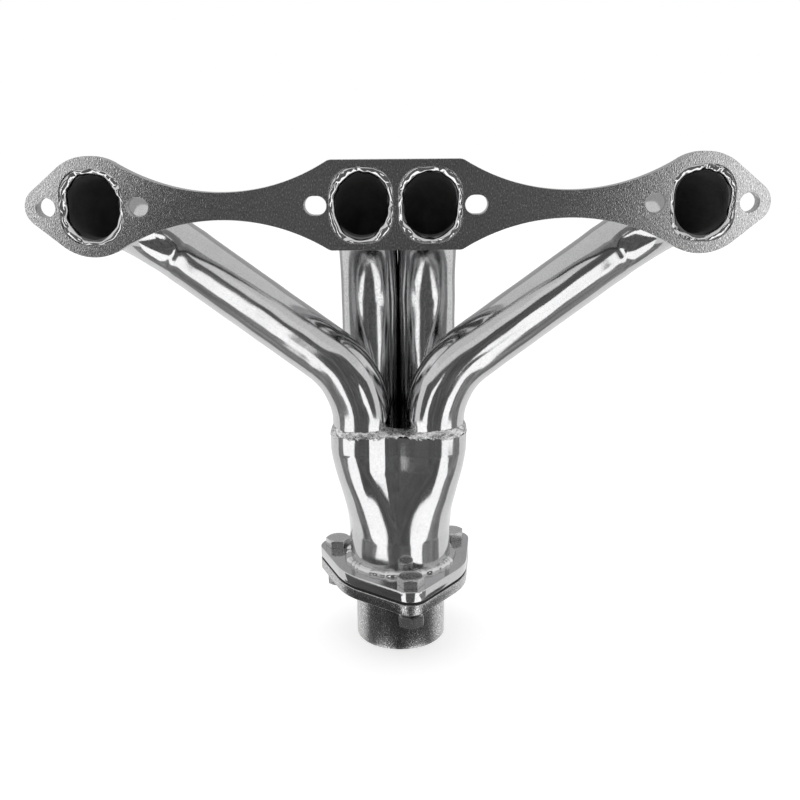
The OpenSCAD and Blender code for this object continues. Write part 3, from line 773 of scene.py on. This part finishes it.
def collector():
    turn = angles(SHELL_AROUND)
    levels = np.concatenate([np.linspace(MOUTH_Z, MERGE_TOP_Z, 12)[:-1],
                             np.linspace(MERGE_TOP_Z, MERGE_END_Z, 64)[:-1],
                             np.linspace(MERGE_END_Z, NECK_END_Z, 16)])
    reaches = [shell_reach(turn, z) for z in levels]
    skin, lining = (
        np.array([about_axis(reach - wall, z, turn, COLLECTOR_AXIS)
                  for reach, z in zip(reaches, levels)])
        for wall in (0, SHELL_WALL))
    outward = unit((skin - [0, COLLECTOR_Y, 0]) * [1, 1, 0])
    skin = skin + SHELL_WAVE_H * wobble(skin, SHELL_WAVE_L, SEEDS["shell"])[..., None] * outward
    add_pipe("shell_collector", skin, lining[::-3], POLISHED, ["collector"])


# Outlet flanges and tube

def ear_reach(off, inset):
    """Reach of a disc with one rounded ear, for angles off the middle of the ear."""
    big, small = OUTLET_FLANGE_R - inset, OUTLET_CORNER_R - inset
    lean = math.acos((big - small) / BOLT_CIRCLE_R)
    touch = math.atan2(small * math.sin(lean), BOLT_CIRCLE_R + small * math.cos(lean))
    off = np.abs(off)
    miss = BOLT_CIRCLE_R * np.sin(off)
    cap = BOLT_CIRCLE_R * np.cos(off) + np.sqrt(np.maximum(small ** 2 - miss ** 2, 0))
    flank = big / np.cos(np.minimum(off, lean) - lean)
    return np.where(off < touch, cap, flank)


def outlet_plate(name, node, z, thickness, bore, inset, material, slot, edge):
    """A three-eared plate of the outlet joint with its bore and bolt holes."""
    turn = angles(OUTLET_PLATE_AROUND)
    reach = np.zeros(len(turn))
    holes = [round_hole(COLLECTOR_AXIS, bore, 144)]
    for i in BOLTS.values():
        middle, way = bolt_place(i)
        off = (turn - way + math.pi) % FULL_TURN - math.pi
        reach = np.maximum(reach, ear_reach(off, inset))
        holes.append(round_hole(middle, BOLT_HOLE_R, 36))
    outline = about_axis(reach, 0, turn, COLLECTOR_AXIS)[:, :2]
    points, faces = plate_mesh([outline] + holes, thickness, edge)
    flat_caps(add_piece(name, points + [0, 0, z], faces, [material], [node], slot))


def revolved(name, profile, centre, around, *args, **more):
    """A ring turned from a closed outline of reach and height."""
    turn = angles(around)
    rings = np.array([about_axis(reach, z, turn, centre) for reach, z in profile])
    add_ring(name, rings, *args, **more)


def rounded_section(inner, outer, low, high, r, steps=4):
    """Outline of a ring's section with rounded corners, as reach and height."""
    corners = [(outer - r, low + r, -90), (outer - r, high - r, 0),
               (inner + r, high - r, 90), (inner + r, low + r, 180)]
    return np.concatenate([arc((x, z), r, a, a + 90, steps) for x, z, a in corners])


def outlet_joint():
    outlet_plate("plate_collector_flange", "collector_flange", FLANGE_BOTTOM_Z, OUTLET_FLANGE_T,
                 NECK_R + BORE_FIT, 0, POLISHED, "polished_steel", OUTLET_EDGE)
    outlet_plate("sheet_gasket", "outlet_gasket", GASKET_BOTTOM_Z, GASKET_T,
                 NECK_R - SHELL_WALL, GASKET_INSET, FIBRE, "gasket", GASKET_EDGE)
    outlet_plate("plate_outlet_flange", "outlet_flange", OUTLET_FLANGE_Z, OUTLET_FLANGE_T,
                 OUTLET_TUBE_R + BORE_FIT, 0, ZINC, "zinc_steel", OUTLET_EDGE)
    lip_z = OUTLET_END_Z + OUTLET_LIP_R
    levels = np.linspace(lip_z, GASKET_BOTTOM_Z - OUTLET_WELD_H, 24)
    lip = arc((OUTLET_TUBE_R - OUTLET_LIP_R, lip_z), OUTLET_LIP_R, 180, 360, 9)
    section = [(OUTLET_TUBE_R, z) for z in levels]
    section += [(OUTLET_BORE_R, z) for z in levels[::-1]]
    section += list(lip[1:-1])
    revolved("tube_outlet", section, COLLECTOR_AXIS, OUTLET_TUBE_AROUND, [ZINC], ["outlet_tube"],
             "zinc_steel", sharp=SOFT_CREASE)


# Fasteners

def hex_reach(turn):
    """Distance from the middle of a hexagon with slightly worn corners to its edge."""
    flats = np.array([np.abs(np.cos(turn - math.radians(a))) for a in (0, 60, 120)])
    return HEX_AF / 2 / (flats ** HEX_SHARPNESS).sum(0) ** (1 / HEX_SHARPNESS)


def hex_rows(z, height, turn, chamfered):
    """Reach and height of a hexagon's rings, turned off at its top and, if asked, its bottom."""
    reach = hex_reach(turn)
    rim = HEX_AF / 2 * HEX_RIM
    slope = (reach - rim) * HEX_SLOPE
    first, rise = (rim, slope) if chamfered else (reach - HEX_EDGE, HEX_EDGE)
    return [(first, z), (reach, z + rise), (reach, z + height - slope), (rim, z + height)]


def thread_rows(turn):
    """Reach and height of the rings of a bolt's thread, from its tip up."""
    rows = []
    cuts = np.arange(BOLT_TIP_Z + TIP_FACE, OUTLET_FLANGE_Z, THREAD_PITCH / THREAD_STEPS)
    for z in [BOLT_TIP_Z, *cuts]:
        phase = (z / THREAD_PITCH - turn / FULL_TURN) % 1
        depth = THREAD_DEPTH * np.clip(np.abs(phase - 0.5) * 2.6 - 0.2, 0, 1)
        chamfer = max(0, BOLT_TIP_Z + TIP_CHAMFER - z)
        rows.append((BOLT_R - depth - chamfer, z))
    return rows


def bolt(place, i):
    """A hexagon-headed bolt with a dished head and a cut thread below the flange."""
    centre, _ = bolt_place(i)
    turn = angles(HEX_AROUND)
    rows = thread_rows(turn)
    rows += [(BOLT_R, OUTLET_FLANGE_Z + SHANK_START), (BOLT_R, FLANGE_TOP_Z)]
    rows += hex_rows(FLANGE_TOP_Z, HEAD_H, turn - math.radians(HEAD_TURNS[place]), False)
    rows += [(HEX_AF / 2 * share, FLANGE_TOP_Z + HEAD_H - dip) for share, dip in HEAD_DISH]
    rings = np.array([about_axis(reach, z, turn, centre) for reach, z in rows])
    add_capped(f"hex_bolt_{place}", rings, [FASTENER], [f"bolt_{place}"], "polished_steel",
               sharp=HEX_CREASE)


def nut(place, i):
    centre, way = bolt_place(i)
    turn = angles(HEX_AROUND)
    low, bore = NUT_Z - NUT_H, BOLT_R + NUT_PLAY
    rows = hex_rows(low, NUT_H, turn - way - math.radians(30), True)
    rows += [(bore + NUT_MOUTH_W, NUT_Z), (bore, NUT_Z - NUT_MOUTH_H),
             (bore, low + NUT_MOUTH_H), (bore + NUT_MOUTH_W, low)]
    rings = np.array([about_axis(reach, z, turn, centre) for reach, z in rows])
    add_ring(f"hex_nut_{place}", rings, [DULL], [f"nut_{place}"], "zinc_steel",
             body=f"nut_{place}", sharp=HEX_CREASE)


def flat_washer(place, i):
    centre, _ = bolt_place(i)
    section = rounded_section(WASHER_BORE_R, WASHER_R, WASHER_Z, WASHER_Z + WASHER_T, WASHER_EDGE)
    revolved(f"washer_flat_{place}", section, centre, WASHER_AROUND, [FASTENER],
             [f"flat_washer_{place}"], "zinc_steel", f"washers_{place}")


def lock_washer(place, i):
    """A split ring whose two ends are cut on the slant."""
    centre, way = bolt_place(i)
    section = rounded_section(WASHER_BORE_R, LOCK_R, LOCK_Z, LOCK_Z + LOCK_T, LOCK_EDGE)
    reach, z = section.T
    slant = (z - LOCK_Z - LOCK_T / 2) / LOCK_R
    half = LOCK_SPLIT / math.sqrt(2) / LOCK_R
    shares = np.linspace(0, 1, WASHER_AROUND + 1)
    rings = np.array([
        about_axis(reach, z, way + slant + half + share * (FULL_TURN - 2 * half), centre)
        for share in shares])
    add_capped(f"washer_lock_{place}", rings, [FASTENER], [f"lock_washer_{place}"], "zinc_steel",
               f"washers_{place}")


# Stage: floor, backdrop light, reflecting cards and camera

def emission_material(name, strength):
    """Light of an even colour, or of a dim uneven one for the dark parts of the room and the
    painted shadows.
    """
    material = bpy.data.materials.new(name)
    material.use_nodes = True
    tree = material.node_tree
    tree.nodes.remove(tree.nodes["Principled BSDF"])
    glow = tree.nodes.new("ShaderNodeEmission")
    glow.inputs["Strength"].default_value = strength
    if strength < BACK_LIGHT:
        mottle = noise(tree, Grain(4, 6, roughness=0.7))
        uneven = ramp(tree, mottle, [(LOW, grey(0.35)), (HIGH, grey(1.7))])
        link(tree, uneven, glow.inputs["Color"])
    link(tree, glow.outputs["Emission"], tree.nodes["Material Output"].inputs["Surface"])
    return material


def card(name, corners, strength, lights=True, faces=None):
    """A card of the studio that only mirrors and, where it lights, soft surfaces see."""
    mesh = bpy.data.meshes.new(name)
    mesh.from_pydata([tuple(c) for c in corners], [], faces or [list(range(len(corners)))])
    mesh.materials.append(emission_material(name, strength))
    obj = bpy.data.objects.new(name, mesh)
    bpy.context.scene.collection.objects.link(obj)
    obj.visible_camera = False
    obj.visible_shadow = False
    obj.visible_diffuse = lights


def level_card(name, outline, z, strength, lights=True):
    card(name, [(x, y, z) for x, y in outline], strength, lights)


def upright_card(name, outline, y, strength, lights=True):
    card(name, [(x, y, z) for x, z in outline], strength, lights)


def curved_shadow_card(name, radius, high, start, end, strength):
    """A low curved card close around the outlet, at angles from straight ahead: a painted shadow
    that only mirrors see.
    """
    bow = arc((0, COLLECTOR_Y * MM), radius, start - 90, end - 90, 12)
    count = len(bow)
    faces = [[i, i + 1, i + 1 + count, i + count] for i in range(count - 1)]
    corners = [(*p, z) for z in (SHADOW_CARD_LOW, high) for p in bow]
    card(name, corners, strength, False, faces)


def cards():
    """Bright tables and lamps beside a dark gap, a painted shadow of the camera, with cards of
    painted shadow round the outlet, in a room that is dark ahead and grey behind.
    """
    for name, outline in TABLES.items():
        level_card(f"table_{name}", outline, TABLE_Z, BRIGHT)
    near = [outline[0] for outline in TABLES.values()]
    # The gap between the tables is a painted shadow of the camera on the table
    level_card("table_camera_shadow", near + CAMERA_SHADOW_FAR_END, UNDER_TABLE_Z, DARK, False)
    for name, s in SIDES.items():
        strip = [(x * s, y) for x, y in STRIP]
        level_card(f"table_strip_{name}", strip, UNDER_TABLE_Z, DIM, False)
    for name, shade_card in FOOT_SHADOW_CARDS.items():
        curved_shadow_card(name, *shade_card)
    upright_card("room_front", WALL, ROOM_Y, DARK, False)
    for name, outline in LAMPS.items():
        upright_card(f"lamp_{name}", outline, LAMP_Y, BRIGHT)
    back = [(-BACK_WALL_X, BACK_WALL_Z), (BACK_WALL_X, BACK_WALL_Z),
            (BACK_WALL_X, CEILING_Z), (-BACK_WALL_X, CEILING_Z)]
    upright_card("room_back", back, -ROOM_Y, BACK_LIGHT, False)
    ceiling = [(-CEILING_X, ROOM_Y), (CEILING_X, ROOM_Y),
               (CEILING_X, -ROOM_Y), (-CEILING_X, -ROOM_Y)]
    level_card("ceiling", ceiling, CEILING_Z, CEILING_LIGHT)


def seen_directly(tree):
    """1 for camera, mirror and transmitted rays, 0 for the soft light."""
    rays = tree.nodes.new("ShaderNodeLightPath")
    total = rays.outputs["Is Camera Ray"]
    for kind in ("Is Glossy Ray", "Is Transmission Ray"):
        add = tree.nodes.new("ShaderNodeMath")
        add.use_clamp = True
        link(tree, total, add.inputs[0])
        link(tree, rays.outputs[kind], add.inputs[1])
        total = add.outputs["Value"]
    return total


def backdrop():
    world = bpy.data.worlds.new("backdrop")
    world.use_nodes = True
    tree = world.node_tree
    background = tree.nodes["Background"]
    strength = span(tree, seen_directly(tree), SOFT_LIGHT, 1.0, 0, 1)
    link(tree, strength, background.inputs["Strength"])
    background.inputs["Color"].default_value = grey(1.0)
    bpy.context.scene.world = world


def floor():
    """A pale floor under the outlet, which mirrors don't see."""
    size, z = FLOOR_SIZE, OUTLET_END_Z * MM
    corners = [(-size, -size, z), (size, -size, z), (size, size, z), (-size, size, z)]
    mesh = bpy.data.meshes.new("floor")
    mesh.from_pydata(corners, [], [[0, 1, 2, 3]])
    material = bpy.data.materials.new("floor")
    material.use_nodes = True
    tree = material.node_tree
    shader = tree.nodes["Principled BSDF"]
    shader.inputs["Roughness"].default_value = 0.9
    pale = ramp(tree, noise(tree, Grain(3, 3)), [(LOW, grey(0.80)), (HIGH, grey(0.84))])
    link(tree, pale, shader.inputs["Base Color"])
    glow = span(tree, seen_directly(tree), 0.0, FLOOR_GLOW, 0, 1)
    link(tree, glow, shader.inputs["Emission Strength"])
    shader.inputs["Emission Color"].default_value = grey(1.0)
    mesh.materials.append(material)
    obj = bpy.data.objects.new("floor", mesh)
    bpy.context.scene.collection.objects.link(obj)
    obj.visible_glossy = False


def camera():
    """The photograph's camera: its place, its turn and its 43 mm lens."""
    yaw, pitch, roll = (math.radians(a) for a in (CAMERA_YAW, CAMERA_PITCH, CAMERA_ROLL))
    level = math.cos(pitch)
    ahead = Vector((-math.sin(yaw) * level, math.cos(yaw) * level, -math.sin(pitch)))
    across = Vector((math.cos(yaw), math.sin(yaw), 0))
    up = across.cross(ahead)
    right = math.cos(roll) * across + math.sin(roll) * up
    top = -math.sin(roll) * across + math.cos(roll) * up
    lens = bpy.data.cameras.new("camera")
    lens.lens, lens.sensor_width = LENS_MM, SENSOR_MM
    cam = bpy.data.objects.new("camera", lens)
    bpy.context.scene.collection.objects.link(cam)
    turned = Matrix((right, top, -ahead)).transposed().to_4x4()
    cam.matrix_world = Matrix.Translation(CAMERA_PLACE) @ turned
    bpy.context.scene.camera = cam


camera()
backdrop()
floor()
cards()
head_flange()
primary_tubes()
for number, (place, x) in enumerate(PORTS.items()):
    port_weld(place, x, 10 * number)
collector()
collector_welds()
outlet_joint()
for place, i in BOLTS.items():
    bolt(place, i)
    flat_washer(place, i)
    lock_washer(place, i)
    nut(place, i)
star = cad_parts["star_plate"]
star.data.materials.clear()
star.data.materials.append(BEAD)

bpy.context.scene.view_settings.view_transform = "Standard"
